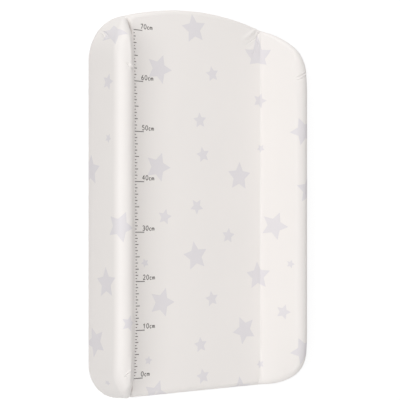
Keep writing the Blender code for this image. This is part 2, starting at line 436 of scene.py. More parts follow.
def side_distances():
    """Distances of the columns from the mat's side, close together on the crest and in the fold."""
    turn = slope_turn(CREST_HEIGHT)
    turn_radius = FOOT_CORNER_RADIUS - CREST_REACH
    sides = [CREST_REACH + turn_radius * (1 - math.cos(CORNER_STEP_ANGLE * k))
             for k in range(CORNER_STEPS) if k != 1]
    round_end = CREST_REACH + CREST_RADIUS * math.sin(turn)
    fold_start = WEDGE_WIDTH - FOLD_SPAN / 2
    fold_end = fold_start + FOLD_SPAN
    for end, columns in ((round_end, CREST_COLUMNS), (fold_start, SLOPE_COLUMNS), (fold_end, FOLD_COLUMNS),
                         (fold_end + NEAR_SPAN, NEAR_COLUMNS), (HALF_WIDTH, FLAT_COLUMNS)):
        start = sides[-1]
        sides += [start + (end - start) * k / columns for k in range(1, columns + 1)]
    return sides[:-1]


def row_share(even):
    """Rows lie closer together towards both ends, where the form changes."""
    return even - ROW_CROWDING * math.sin(2 * math.pi * even)


def film_columns():
    """(x, place on the flat film) of each column."""
    left = [side - HALF_WIDTH for side in side_distances()]
    places = left + [0] + [-x for x in reversed(left)]
    middle = places.index(0)
    heights = [plain_height(HALF_WIDTH - abs(x), 0) for x in places]
    flat = [0] * len(places)
    for k in range(middle + 1, len(places)):
        flat[k] = flat[k - 1] + math.hypot(places[k] - places[k - 1], heights[k] - heights[k - 1])
        flat[2 * middle - k] = -flat[k]
    return places, flat


COLUMN_X, COLUMN_FLAT = film_columns()
print("Film grid", len(COLUMN_X), "columns by", ROWS + 1, "rows;", round(2 * COLUMN_FLAT[-1], 3),
      "m of film from crest to crest")

# %% Build the film sheet
def film_sheet():
    """Open film mesh with its flat-film map. Returns it with its border stations."""
    last = len(COLUMN_X) - 1
    sheet = bmesh.new()
    sheet.verts.layers.float_vector.new("out")
    flat = sheet.verts.layers.float_vector.new("flat")
    bmesh.ops.create_grid(sheet, x_segments=last, y_segments=ROWS, size=0.5)
    stations = {}
    for vertex in sheet.verts:
        column = round((vertex.co.x + 0.5) * last)
        row = round((vertex.co.y + 0.5) * ROWS)
        x = COLUMN_X[column]
        foot = foot_station(x)
        head = head_station(x)
        y = foot[0].y + (head[0].y - foot[0].y) * row_share(row / ROWS)
        vertex.co = (x, y, surface_height(x, y))
        vertex[flat] = (COLUMN_FLAT[column], y, 0)
        station = None
        if column in (0, last):
            station = (Vector((math.copysign(1, x), 0)), CREST_RADIUS, CREST_REACH)
        if row == 0:
            station = foot[1:]
        if row == ROWS:
            station = head[1:]
        if station:
            stations[vertex] = (vertex.co.copy(), Vector(vertex[flat]), *station)
    return sheet, flat, stations


sheet, flat, stations = film_sheet()
print("Top of the film:", len(sheet.faces), "faces,", len(stations), "points on its border")

# %% Rings round the edge, down the walls and in under the back
RINGS = EDGE_RINGS + WALL_RINGS + BEND_RINGS + 1


def ring_places(inner, radius, reach):
    """(way out from the inner line, height, film used) at each ring of one station, from edge to hem."""
    places = []
    for k in range(1, EDGE_RINGS + 1):
        turn = WALL_TURN * k / EDGE_RINGS
        places.append((radius * math.sin(turn), inner.z - radius * (1 - math.cos(turn)), radius * turn))
    start, top, used = places[-1]
    foot = HEM_Z + HEM_BEND
    wall = math.hypot(reach - start, top - foot)
    for k in range(1, WALL_RINGS + 1):
        share = k / WALL_RINGS
        places.append((start + (reach - start) * share, top - (top - foot) * share, used + wall * share))
    used = places[-1][2]
    for k in range(1, BEND_RINGS + 1):
        turn = math.pi / 2 * k / BEND_RINGS
        places.append((reach - HEM_BEND * (1 - math.cos(turn)), foot - HEM_BEND * math.sin(turn),
                       used + HEM_BEND * turn))
    used = places[-1][2]
    places.append((reach - HEM_INSET, HEM_Z, used + HEM_INSET - HEM_BEND))
    return places


print(RINGS, "rings from the top of the film to its hem")

# %% Carry the film down to its hem
def carry_border(sheet, flat, stations, rings):
    """Extrudes the sheet's border ring by ring, round the edge and down the wall."""
    plans = {vertex: ring_places(station[0], *station[3:]) for vertex, station in stations.items()}
    for ring in range(rings):
        border = [edge for edge in sheet.edges if edge.is_boundary]
        made = bmesh.ops.extrude_edge_only(sheet, edges=border)["geom"]
        fresh = {item for item in made if isinstance(item, bmesh.types.BMVert)}
        moved = {}
        for old, station in stations.items():
            new = next(edge.other_vert(old) for edge in old.link_edges if edge.other_vert(old) in fresh)
            inner, on_film, out = station[:3]
            away, height, used = plans[old][ring]
            new.co = (inner.x + out.x * away, inner.y + out.y * away, height)
            new[flat] = (on_film.x + out.x * used, on_film.y + out.y * used, 0)
            moved[new] = station
            plans[new] = plans.pop(old)
        stations = moved


carry_border(sheet, flat, stations, RINGS)
bmesh.ops.recalc_face_normals(sheet, faces=sheet.faces)
print("Film sheet of", len(sheet.faces), "faces")

# %% [markdown]
# Where a flat film has to go round a corner, there is too much of it, and it folds or creases. A simulation
# would crease it anywhere, so the creases are drawn instead: each is a line on the flat film with a depth and
# a half width at every point, and the film's points near it move along their normals.

# %% Draw the creases
CM = 0.01
MM = 0.001
# Each point: centimetres across and up the flat film, then in millimetres how far it is raised, or pressed
# in where that is negative, and the half width
CREASES = [
    # The fold's bottom at both ends of the left wedge
    [(-16.3, 69.0, 0, 2), (-16.4, 71.3, -1.4, 2.2), (-16.85, 72.6, -2.0, 2.3), (-17.4, 73.9, -2.6, 2.4),
     (-18.0, 75.0, -3.0, 2.4), (-18.25, 75.8, -3.0, 2.0), (-18.6, 76.5, -0.8, 1.8)],
    [(-16.9, 5.0, 0, 2), (-16.95, 3.0, -0.8, 2.0), (-17.0, 2.2, -2.6, 2.4), (-17.1, 1.8, -4.4, 2.6),
     (-17.35, 1.35, -5.0, 2.6), (-17.55, 0.95, -5.0, 2.6), (-17.8, 0.2, -3, 2)],
    # Small creases on the left crest
    [(-26.0, 5.9, 0, 2.0), (-25.6, 6.3, 2.2, 2.2), (-25.0, 6.6, 1.8, 2.2), (-24.3, 6.8, 0, 2.0)],
    [(-26.2, 5.4, 0, 1.6), (-25.8, 5.7, -1.5, 1.8), (-25.3, 6.0, -1.2, 1.8), (-24.7, 6.1, 0, 1.6)],
    [(-25.4, 65.6, 0, 3.0), (-24.6, 65.4, 3.0, 3.5), (-23.8, 65.3, 3.5, 4.0), (-22.6, 65.2, 0, 4.0)],
    [(-26.2, 65.9, 0, 2.5), (-25.5, 65.6, -1.6, 3.0), (-25.1, 64.9, 0, 2.5)],
    # Gathers beside the star at the left head corner
    [(-32.0, 77.0, 0, 2.5), (-31.2, 74.6, 1.2, 2.6), (-30.8, 71.4, 0, 2.5)],
    [(-31.2, 77.2, 0, 2.5), (-30.3, 74.8, -1.2, 2.6), (-29.9, 72.0, 0, 2.5)],
    # The pinched film beside the right fold at the head end
    [(15.6, 77.8, 0.4, 3), (14.2, 76.4, 1.5, 6), (12.6, 75.2, 1.3, 8), (10.8, 73.8, 0, 8)],
    [(16.2, 78.8, -1.0, 1.8), (16.15, 76.5, -1.9, 2.0), (14.7, 75.0, -1.4, 2.4), (13.05, 73.85, -0.7, 3.0),
     (11.4, 72.7, 0, 3)],
    [(15.6, 75.2, 0, 6), (14.9, 74.5, -0.9, 6), (13.4, 73.3, -0.6, 6), (12.0, 72.4, 0, 6)],
    [(15.5, 76.4, -0.6, 1.6), (15.3, 75.2, -1.4, 1.8), (15.1, 74.6, -1.6, 1.8), (15.5, 73.9, -1.8, 1.8),
     (15.4, 72.9, 0, 1.8)],
    [(15.9, 76.2, 0, 2.0), (15.8, 75.2, 1.2, 2.2), (15.9, 74.3, 1.0, 2.2), (16.0, 73.4, 0, 2)],
    [(14.8, 73.4, 0, 2.0), (14.3, 71.9, -0.6, 3.0), (13.7, 70.2, 0, 2.0)],
    # Two short creases over the right edge, and the end of the right fold
    [(23.6, 66.2, 0, 1.6), (24.5, 66.7, 0.9, 1.8), (27.4, 68.2, 0.6, 1.8)],
    [(23.8, 66.0, 0, 1.2), (24.7, 66.4, -0.6, 1.4), (27.5, 67.8, -0.6, 1.4)],
    [(24.0, 65.8, 0, 1.6), (24.9, 66.2, 0.9, 1.8), (27.6, 67.6, 0.6, 1.8)],
    [(24.2, 65.5, 0, 1.6), (25.1, 65.9, -0.8, 1.8), (27.7, 67.1, -0.8, 1.8)],
    [(15.9, 2.4, 0, 1.6), (15.7, 0.8, -1.4, 2.0), (15.6, -0.8, -0.8, 2.0)],
]
print(len(CREASES), "creases of", sum(len(crease) for crease in CREASES), "points")

# %% Sort the creases into cells of the flat film
REFINE_MARGINS = (0.0035, 0.0020, 0.0008)
CELL = 0.02


def cell_of(place):
    return math.floor(place.x / CELL), math.floor((place.y - FOOT_Y) / CELL)


def cells_between(first, second, margin):
    """Numbers of the cells from one place to another, with a margin, one way over the film."""
    low, high = min(first, second) - margin, max(first, second) + margin
    return range(math.floor(low / CELL), math.floor(high / CELL) + 1)


def crease_cells():
    """The creases that pass near each two centimetre cell of the flat film."""
    cells = {}
    for crease in CREASES:
        for (x0, y0, depth0, width0), (x1, y1, depth1, width1) in zip(crease, crease[1:]):
            margin = max(width0, width1) * MM + REFINE_MARGINS[0]
            for i in cells_between(x0 * CM, x1 * CM, margin):
                for j in cells_between(y0 * CM, y1 * CM, margin):
                    near = cells.setdefault((i, j), [])
                    if crease not in near:
                        near.append(crease)
    return cells


CREASE_CELLS = crease_cells()
print("Creases lie in", len(CREASE_CELLS), "cells of", CELL, "m")

# %% Press the creases into the film
CREASE_STEP = 0.0009


def crease_lift(place, crease):
    """How far a crease moves a place on the flat film, and the place's distance from the crease's side."""
    lift, nearest = 0, 1
    for (x0, y0, depth0, width0), (x1, y1, depth1, width1) in zip(crease, crease[1:]):
        start = Vector((x0 * CM, y0 * CM + FOOT_Y))
        run = Vector(((x1 - x0) * CM, (y1 - y0) * CM))
        share = min(1, max(0, (place - start).dot(run) / run.length_squared))
        width = (width0 + (width1 - width0) * share) * MM
        off = (place - start - run * share).length / width
        nearest = min(nearest, (off - 1) * width)
        if off < 1:
            here = (depth0 + (depth1 - depth0) * share) * MM * (1 - off**2) ** 2
            lift = here if abs(here) > abs(lift) else lift
    return lift, nearest


def near_crease(place, margin):
    return any(crease_lift(place, crease)[1] < margin for crease in CREASE_CELLS.get(cell_of(place), ()))


def press_creases(sheet, flat, raised_share=1):
    """Refines the sheet near each crease and moves its points there the way the smooth sheet faces."""
    out = sheet.verts.layers.float_vector["out"]
    sheet.normal_update()
    for vertex in sheet.verts:
        vertex[out] = vertex.normal
    for margin in REFINE_MARGINS:
        long_edges = [edge for edge in sheet.edges if cell_of(edge.verts[0][flat]) in CREASE_CELLS
                      and edge.calc_length() > CREASE_STEP
                      and near_crease((edge.verts[0][flat].xy + edge.verts[1][flat].xy) / 2, margin)]
        bmesh.ops.subdivide_edges(sheet, edges=long_edges, cuts=1, use_grid_fill=True)
    moves = []
    for vertex in sheet.verts:
        place = vertex[flat].xy
        lifts = [crease_lift(place, crease)[0] for crease in CREASE_CELLS.get(cell_of(place), ())]
        lift = sum(min(0, one) + max(0, one) * raised_share for one in lifts)
        if lift:
            moves.append((vertex, vertex[out].normalized() * lift))
    for vertex, move in moves:
        vertex.co += move
    return len(moves)


print("The creases move", press_creases(sheet, flat), "points")

# %% [markdown]
# The film map is the flat place of each point. Over two corners the film is pulled longer, and its print with
# it, so there the map is drawn in a little: each pull has its centre, its way, its share and its reach.

# %% Write the film map
MAP_CORNER = 0.5
# Each pull: centimetres across and up, its way in degrees, its share, and its reach in centimetres
FILM_PULLS = [(-28.5, 73.1, 140, 0.33, 6.5), (15.3, 71.5, 0, 0.2, 6.0), (15.2, 73.4, 90, 0.55, 4.2)]


def pulled(place):
    for across, up, turn, share, reach in FILM_PULLS:
        way = Vector((math.cos(math.radians(turn)), math.sin(math.radians(turn))))
        off = place - Vector((across * CM, up * CM + FOOT_Y))
        near = max(0, 1 - (off.length / (reach * CM)) ** 2)
        place = place - way * (off.dot(way) * share * near)
    return place


def write_film_map(sheet, flat):
    """Copies each point's place on the flat film to the UV map, half a metre in from its corner."""
    chart = sheet.loops.layers.uv.new("film")
    for face in sheet.faces:
        for loop in face.loops:
            place = pulled(loop.vert[flat].xy)
            loop[chart].uv = (place.x + MAP_CORNER, place.y + MAP_CORNER)


write_film_map(sheet, flat)
film_mesh = bpy.data.meshes.new("film_cover")
sheet.to_mesh(film_mesh)
sheet.free()
film_mesh.shade_smooth()
print("Film map written, with", len(FILM_PULLS), "pulls")

# %% [markdown]
# ## The film's finish
# The film is smooth white plastic with a satin gloss. Up close it is never perfect: a fine grain, a slow
# waviness where the foam pushes through, and a faint change of tone.

# %% Finish of the white film
FILM_COLOUR = (0.893, 0.855, 0.826, 1)
FILM_COLOUR_SHADE = (0.870, 0.835, 0.812, 1)


def make_film_finish(name, colour, shade, roughness):
    """A finish with the film's waviness and grain, and a tone that drifts between two colours."""
    finish = Finish(name, roughness)
    place = {"Vector": finish.place()}
    cloud = finish.out("ShaderNodeTexNoise", place, Scale=9.0, Detail=3.0)
    wave = finish.out("ShaderNodeTexNoise", place, Scale=14.0, Detail=2.0)
    grain = finish.out("ShaderNodeTexNoise", place, Scale=900.0, Detail=2.0)
    slow = finish.bump(wave, strength=0.25, distance=0.004)
    fine = finish.bump(grain, strength=0.08, distance=0.0002, under=slow)
    return finish.end(finish.mix(cloud, colour, shade), fine)


film_finish = make_film_finish("white film", FILM_COLOUR, FILM_COLOUR_SHADE, roughness=0.5)
film_cover = add_piece("film_cover", film_mesh, film_finish)
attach(film_cover, "root")
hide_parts("top_cover")
print("Film cover made")

# %% [markdown]
# ## Laying print on the film
# The stars, the ruler's marks and its numbers are thin layers of ink. They could be painted into the film's
# material, but as real geometry they keep crisp edges in any export. Each is made flat, in the film's own
# flat map, and one node group then bends it onto the film: it looks up each point's place in the map and
# moves it there, with its flat height turned into height over the film.

# %% Helper for Geometry Nodes trees
class Tree(Nodes):
    """A Geometry Nodes tree with named inputs. It runs on a carrier object, which is then removed."""

    def __init__(self, name, **inputs):
        """Each keyword is a kind of socket, and its value the names of the inputs of that kind."""
        self.group = bpy.data.node_groups.new(name, "GeometryNodeTree")
        super().__init__(self.group)
        new_socket = self.group.interface.new_socket
        new_socket("Geometry", in_out="INPUT", socket_type="NodeSocketGeometry")
        self.sockets = {title: new_socket(title, in_out="INPUT", socket_type="NodeSocket" + kind)
                        for kind, titles in inputs.items() for title in titles.split(", ")}
        new_socket("Geometry", in_out="OUTPUT", socket_type="NodeSocketGeometry")
        self.start = self.nodes.new("NodeGroupInput").outputs
        self.end = self.nodes.new("NodeGroupOutput").inputs[0]

    def named(self, name, kind):
        """An attribute of the geometry, by its name."""
        return self.add("GeometryNodeInputNamedAttribute", data_type=kind, Name=name).outputs["Attribute"]

    def finish(self, shape, material):
        """Ends the tree with real faces in place of instances, and their material."""
        real = self.out("GeometryNodeRealizeInstances", {"Geometry": shape})
        sources = {"Geometry": real, "Material": self.start[material]}
        self.join(self.out("GeometryNodeSetMaterial", sources), self.end)

    def run(self, carrier, name, **values):
        """Runs the tree on an object and returns what it makes as a plain mesh piece."""
        modifier = carrier.modifiers.new(name, "NODES")
        modifier.node_group = self.group
        for title, value in values.items():
            modifier[self.sockets[title.replace("_", " ")].identifier] = value
        bpy.context.scene.collection.objects.link(carrier)
        made = carrier.evaluated_get(bpy.context.evaluated_depsgraph_get())
        mesh = bpy.data.meshes.new_from_object(made)
        mesh.name = name
        bpy.data.objects.remove(carrier)
        piece = bpy.data.objects.new(name, mesh)
        bpy.context.scene.collection.objects.link(piece)
        return piece


# %% The node group that bends flat print onto the film
SHARP_ANGLE = math.radians(40)


def make_lay_on_film():
    tree = Tree("lay on film", Object="Film")
    film = tree.add("GeometryNodeObjectInfo", {"Object": tree.start["Film"]}).outputs["Geometry"]
    chart = tree.named("film", "FLOAT_VECTOR")
    here = tree.out("GeometryNodeInputPosition")
    wanted = tree.add("ShaderNodeVectorMath", {0: here}, operation="ADD")
    wanted.inputs[1].default_value = (MAP_CORNER, MAP_CORNER, 0)
    found = []
    for field in ("GeometryNodeInputPosition", "GeometryNodeInputNormal"):
        sources = {"Mesh": film, "Value": tree.out(field), "Source UV Map": chart,
                   "Sample UV": wanted.outputs[0]}
        sample = tree.add("GeometryNodeSampleUVSurface", sources, data_type="FLOAT_VECTOR")
        found.append(sample.outputs["Value"])
    place, normal = found
    height = tree.add("ShaderNodeSeparateXYZ", {0: here}).outputs["Z"]
    lift = tree.out("ShaderNodeVectorMath", {"Vector": normal, "Scale": height}, operation="SCALE")
    raised = tree.out("ShaderNodeVectorMath", {0: place, 1: lift}, operation="ADD")
    angle = tree.add("GeometryNodeInputMeshEdgeAngle").outputs["Unsigned Angle"]
    sharp = tree.out("FunctionNodeCompare", {"A": angle}, operation="GREATER_THAN", B=SHARP_ANGLE)
    marked = tree.out("GeometryNodeStoreNamedAttribute", {"Geometry": tree.start["Geometry"], "Value": sharp},
                      data_type="BOOLEAN", domain="EDGE", Name="sharp_edge")
    laid = tree.out("GeometryNodeSetPosition", {"Geometry": marked, "Position": raised})
    tree.join(tree.out("GeometryNodeSetShadeSmooth", {0: laid}), tree.end)
    return tree.group


lay_on_film = make_lay_on_film()


def end_print(tree, flat_print):
    """Ends a tree: lays its flat print on the film and gives it its ink."""
    sources = {"Geometry": flat_print, "Film": tree.start["Film"]}
    tree.finish(tree.out("GeometryNodeGroup", sources, node_tree=lay_on_film), "Ink")
    return tree


print("Node group made:", lay_on_film.name, "with", len(lay_on_film.nodes), "nodes")

# %% [markdown]
# ## The stars
# The print is a scatter of five-pointed stars in three sizes, each turned its own way. They are listed here
# as a printer's layout: centimetres across from the middle of the film and up from the foot edge, the star's
# radius, and its turn. The tree makes one closed star, puts it on every point of the layout, and lays it.

# %% Layout of the stars
BIG = 3.1
MIDDLE = 1.68
SMALL = 0.95
STAR_LAYOUT = [
    (-28.45, 73.1, BIG, 36), (-30.5, 62.4, MIDDLE, 18), (-30.4, 51.5, SMALL, 30), (-36.3, 45.5, BIG, 4),
    (-27.3, 34.4, BIG, 23), (-31.1, 23.5, BIG, 69), (-34.6, 11.8, BIG, 46), (-25.4, 15.8, MIDDLE, 16),
    (-30.1, 2.6, SMALL, 10), (-1.5, 75.4, BIG, 62), (-10.2, 66.4, BIG, 19), (3.2, 66.4, MIDDLE, 60),
    (15.3, 71.75, BIG, 71), (15.8, 61.6, MIDDLE, 18), (0.0, 56.5, MIDDLE, 67), (0.8, 49.4, MIDDLE, 59),
    (-10.5, 46.5, BIG, 19), (10.3, 45.1, BIG, 2), (16.1, 51.3, SMALL, 40), (25.7, 54.8, BIG, 50),
    (27.1, 42.3, BIG, 0), (-0.8, 38.6, MIDDLE, 35), (-8.8, 36.4, MIDDLE, 12), (7.4, 32.5, MIDDLE, 6),
    (-1.1, 28.3, BIG, 62), (19.2, 34.6, BIG, 23), (15.3, 23.8, BIG, 69), (22.8, 26.4, SMALL, 20),
    (-9.5, 19.0, BIG, 18), (3.1, 19.3, MIDDLE, 62), (11.7, 12.3, BIG, 47), (21.2, 16.1, MIDDLE, 19),
    (0.2, 9.8, MIDDLE, 66), (-12.8, 7.4, SMALL, 10), (0.8, 3.2, MIDDLE, 62), (-11.0, 0.3, BIG, 20),
    (10.7, -0.6, BIG, 66), (16.0, 4.7, SMALL, 50), (25.9, 7.8, BIG, 45), (-13.6, 27.1, SMALL, 50),
]

# A star on creased film needs a fine mesh, one that bends over a crest or a fold a less fine one
FLAT_DETAIL = 3
BENT_DETAIL = 4
CREASED_DETAIL = 5
CREASED_STARS = (STAR_LAYOUT[0], STAR_LAYOUT[12])
BENT_FROM = 12


def detail_of(star):
    if star in CREASED_STARS:
        return CREASED_DETAIL
    return BENT_DETAIL if abs(star[0]) > BENT_FROM else FLAT_DETAIL


def make_star_layout(stars):
    mesh = bpy.data.meshes.new("star layout")
    points = [(across * CM, up * CM + FOOT_Y, 0) for across, up, radius, turn in stars]
    mesh.from_pydata(points, [], [])
    radii = mesh.attributes.new("star radius", "FLOAT", "POINT")
    turns = mesh.attributes.new("star turn", "FLOAT", "POINT")
    for k, (across, up, radius, turn) in enumerate(stars):
        radii.data[k].value = radius * CM
        turns.data[k].value = math.radians(90 - turn)
    return bpy.data.objects.new("star layout", mesh)


print(len(STAR_LAYOUT), "stars in the layout")

# %% Ink of the stars
STAR_INK = (0.790, 0.757, 0.771, 1)
STAR_INK_SHADE = (0.765, 0.735, 0.752, 1)
star_ink = make_film_finish("lilac grey ink", STAR_INK, STAR_INK_SHADE, roughness=0.52)
print("Finish made:", star_ink.name)

# %% The tree of the stars
INK_MERGE = 0.000001


def make_star_tree():
    tree = Tree("star print", Int="Points, Detail", Float="Notch share, Ink top, Ink depth",
                Object="Film", Material="Ink")
    given = tree.start
    corners = tree.math("MULTIPLY", given["Points"], 2)
    fan = tree.out("GeometryNodeMeshCircle", {"Vertices": corners}, fill_type="TRIANGLE_FAN", Radius=1.0)
    odd = tree.math("MODULO", tree.out("GeometryNodeInputIndex"), 2)
    here = tree.out("GeometryNodeInputPosition")
    drawn_in = tree.out("ShaderNodeVectorMath", {"Vector": here, "Scale": given["Notch share"]},
                        operation="SCALE")
    star = tree.out("GeometryNodeSetPosition", {"Geometry": fan, "Selection": odd, "Position": drawn_in})
    cells = tree.out("GeometryNodeSubdivideMesh", {"Mesh": star, "Level": given["Detail"]})
    radius = tree.named("star radius", "FLOAT")
    turn = tree.out("ShaderNodeCombineXYZ", {"Z": tree.named("star turn", "FLOAT")})
    size = tree.out("ShaderNodeCombineXYZ", {"X": radius, "Y": radius}, Z=1.0)
    points = tree.out("GeometryNodeMeshToPoints", {"Mesh": given["Geometry"]})
    spread = tree.out("GeometryNodeInstanceOnPoints", {"Points": points, "Instance": cells, "Rotation": turn,
                                                       "Scale": size})
    flat_stars = tree.out("GeometryNodeRealizeInstances", {"Geometry": spread})
    below = tree.math("SUBTRACT", given["Ink top"], given["Ink depth"])
    drop = tree.out("ShaderNodeCombineXYZ", {"Z": below})
    base = tree.out("GeometryNodeSetPosition", {"Geometry": flat_stars, "Offset": drop})
    rise = tree.out("ShaderNodeCombineXYZ", {"Z": given["Ink depth"]})
    walls = tree.out("GeometryNodeExtrudeMesh", {"Mesh": base, "Offset": rise}, Individual=False)
    under = tree.out("GeometryNodeFlipFaces", {"Mesh": base})
    shell = tree.add("GeometryNodeJoinGeometry", {0: walls})
    tree.join(under, shell.inputs[0])
    closed = tree.out("GeometryNodeMergeByDistance", {"Geometry": shell.outputs[0]}, Distance=INK_MERGE)
    return end_print(tree, closed)


star_tree = make_star_tree()
print("Tree of the stars made, with", len(star_tree.nodes), "nodes")

# %% Print the stars
INK_TOP = 0.00012
INK_DEPTH = 0.0003
STAR_POINTS = 5
NOTCH_SHARE = 0.5
STAR_PIECES = {FLAT_DETAIL: "flat_stars", BENT_DETAIL: "bent_stars", CREASED_DETAIL: "creased_stars"}
for detail, name in STAR_PIECES.items():
    layout = make_star_layout([star for star in STAR_LAYOUT if detail_of(star) == detail])
    stars = star_tree.run(layout, name, Points=STAR_POINTS, Notch_share=NOTCH_SHARE, Detail=detail,
                          Ink_top=INK_TOP, Ink_depth=INK_DEPTH, Film=film_cover, Ink=star_ink)
    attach(stars, "root")
    print(name, "print:", len(stars.data.polygons), "faces")

# %% [markdown]
# ## The ruler's marks
# A ruler is printed along the left fold. It has a long mark and a number every ten centimetres, and shorter
# marks between them in the way of a folding rule: half, quarter, eighth and sixteenth. A tree suits it. One
# line runs through the eight long marks, is cut into sixteenths, and carries a mark on every point.

# %% Where the long marks lie
RULER_LINE = [
    (-16.30, 4.00), (-15.82, 13.60), (-15.82, 23.40), (-15.94, 33.30), (-15.99, 43.45), (-16.06, 53.50),
    (-16.22, 63.60), (-16.42, 73.84),
]
MARKS_APART = 16
MARK_WIDTH = 0.0015
LONG_MARK = 0.0216
HALF_MARK = 0.0098
QUARTER_MARK = 0.0072
EIGHTH_MARK = 0.0056
SHORT_MARK = 0.0032
# Points along and across a mark, so that it can bend with the film
MARK_CUTS = {"Vertices X": 9, "Vertices Y": 3}


def make_lines(name, lines, closed=False):
    """Object of straight lines, each given as its points and one radius."""
    data = bpy.data.curves.new(name, "CURVE")
    data.dimensions = "3D"
    for points, radius in lines:
        line = data.splines.new("POLY")
        line.use_cyclic_u = closed
        line.points.add(len(points) - 1)
        for target, point in zip(line.points, points):
            target.co = (*point, 1)
            target.radius = radius
    return bpy.data.objects.new(name, data)


print("Ruler from", RULER_LINE[0][1], "to", RULER_LINE[-1][1], "cm above the foot edge")

# %% Ink of the ruler, worn a little paler in places
RULER_INK = (0.075, 0.068, 0.064, 1)
RULER_INK_WORN = (0.150, 0.138, 0.130, 1)
ruler_ink = make_film_finish("dark ruler ink", RULER_INK, RULER_INK_WORN, roughness=0.5)
print("Finish made:", ruler_ink.name)

# %% The tree of the marks
def make_mark_tree():
    tree = Tree("ruler marks", Int="Marks apart", Object="Film", Material="Ink",
                Float="Mark width, Long, Half, Quarter, Eighth, Short, Ink top, Ink depth")
    given = tree.start
    cuts = tree.math("SUBTRACT", given["Marks apart"], 1)
    line = tree.out("GeometryNodeSubdivideCurve", {"Curve": given["Geometry"], "Cuts": cuts})
    points = tree.out("GeometryNodeCurveToPoints", {"Curve": line}, mode="EVALUATED")
    index = tree.out("GeometryNodeInputIndex")
    length = given["Short"]
    for title, every in (("Eighth", 8), ("Quarter", 4), ("Half", 2), ("Long", 1)):
        rest = tree.math("MODULO", index, tree.math("DIVIDE", given["Marks apart"], every))
        on_step = tree.out("FunctionNodeCompare", {"A": rest}, operation="LESS_THAN", B=0.5)
        length = tree.out("GeometryNodeSwitch", {"Switch": on_step, "False": length, "True": given[title]},
                          input_type="FLOAT")
    bar = tree.out("GeometryNodeMeshCube", Size=(1, 1, 1), **MARK_CUTS)
    mark = tree.out("GeometryNodeTransform", {"Geometry": bar}, Translation=(0.5, 0, 0))
    size = tree.out("ShaderNodeCombineXYZ", {"X": length, "Y": given["Mark width"], "Z": given["Ink depth"]})
    spread = tree.out("GeometryNodeInstanceOnPoints", {"Points": points, "Instance": mark, "Scale": size})
    flat_marks = tree.out("GeometryNodeRealizeInstances", {"Geometry": spread})
    middle = tree.math("MULTIPLY_ADD", given["Ink depth"], -0.5, given["Ink top"])
    drop = tree.out("ShaderNodeCombineXYZ", {"Z": middle})
    return end_print(tree, tree.out("GeometryNodeSetPosition", {"Geometry": flat_marks, "Offset": drop}))


mark_tree = make_mark_tree()
print("Tree of the marks made, with", len(mark_tree.nodes), "nodes")

# %% Print the marks
ruler_points = [(across * CM, up * CM + FOOT_Y, 0) for across, up in RULER_LINE]
ruler_marks = mark_tree.run(
    make_lines("ruler line", [(ruler_points, 1)]), "ruler_marks", Marks_apart=MARKS_APART,
    Mark_width=MARK_WIDTH, Long=LONG_MARK, Half=HALF_MARK, Quarter=QUARTER_MARK, Eighth=EIGHTH_MARK,
    Short=SHORT_MARK, Ink_top=INK_TOP, Ink_depth=INK_DEPTH, Film=film_cover, Ink=ruler_ink)
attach(ruler_marks, "root")
print("Ruler marks:", len(ruler_marks.data.polygons), "faces")

# %% [markdown]
# ## The ruler's numbers
# The numbers look hand lettered, in thin strokes with round ends. A font would be too regular, so each sign
# is a few strokes through a few points. The tree turns the strokes into round beads, presses them flat and
# lays them on the film.

# %% Strokes of the signs, in shares of a sign's width and height
SIGN_STROKES = {
    "0": [[(0.5, 1), (0.14, 0.82), (0, 0.5), (0.16, 0.14), (0.5, 0), (0.85, 0.18), (1, 0.52), (0.86, 0.86),
           (0.5, 1)]],
    "1": [[(0.1, 0.7), (0.58, 1)], [(0.58, 1), (0.52, 0)]],
    "2": [[(0.02, 0.78), (0.25, 0.98), (0.68, 0.98), (0.86, 0.76), (0.7, 0.5), (0.36, 0.24), (0, 0)],
          [(0, 0), (1, 0.04)]],
    "3": [[(0, 0.9), (0.42, 1), (0.84, 0.86), (0.74, 0.62), (0.36, 0.52)],
          [(0.36, 0.52), (0.86, 0.44), (0.94, 0.18), (0.5, 0), (0, 0.1)]],
    "4": [[(0.7, 0), (0.74, 1)], [(0.74, 1), (0, 0.34)], [(0, 0.34), (1, 0.36)]],
    "5": [[(0.92, 1), (0.18, 0.98)], [(0.18, 0.98), (0.1, 0.58)],
          [(0.1, 0.58), (0.52, 0.64), (0.9, 0.44), (0.84, 0.14), (0.44, 0), (0, 0.1)]],
    "6": [[(0.74, 1), (0.3, 0.7), (0.04, 0.32), (0.2, 0.04), (0.6, 0), (0.9, 0.24), (0.72, 0.5), (0.34, 0.48),
           (0.08, 0.3)]],
    "7": [[(0, 0.94), (1, 1)], [(1, 1), (0.36, 0)]],
    "c": [[(0.92, 0.86), (0.52, 1), (0.1, 0.72), (0.08, 0.3), (0.46, 0), (0.96, 0.1)]],
    "m": [[(0, 1), (0.05, 0)], [(0.04, 0.7), (0.28, 1), (0.48, 0.8), (0.5, 0)],
          [(0.5, 0.7), (0.76, 1), (0.96, 0.8), (1, 0)]],
}
DIGIT_SIZE = (0.0052, 0.0094)
LETTER_C_SIZE = (0.0038, 0.0054)
LETTER_M_SIZE = (0.0056, 0.0052)
SIGN_GAP = 0.0028
LETTER_GAP = 0.0021
STROKE_WIDTH = 0.0016
LETTER_STROKE_SHARE = 0.85
LABEL_SHIFT = 0.0178
LABEL_RISE = 0.0034


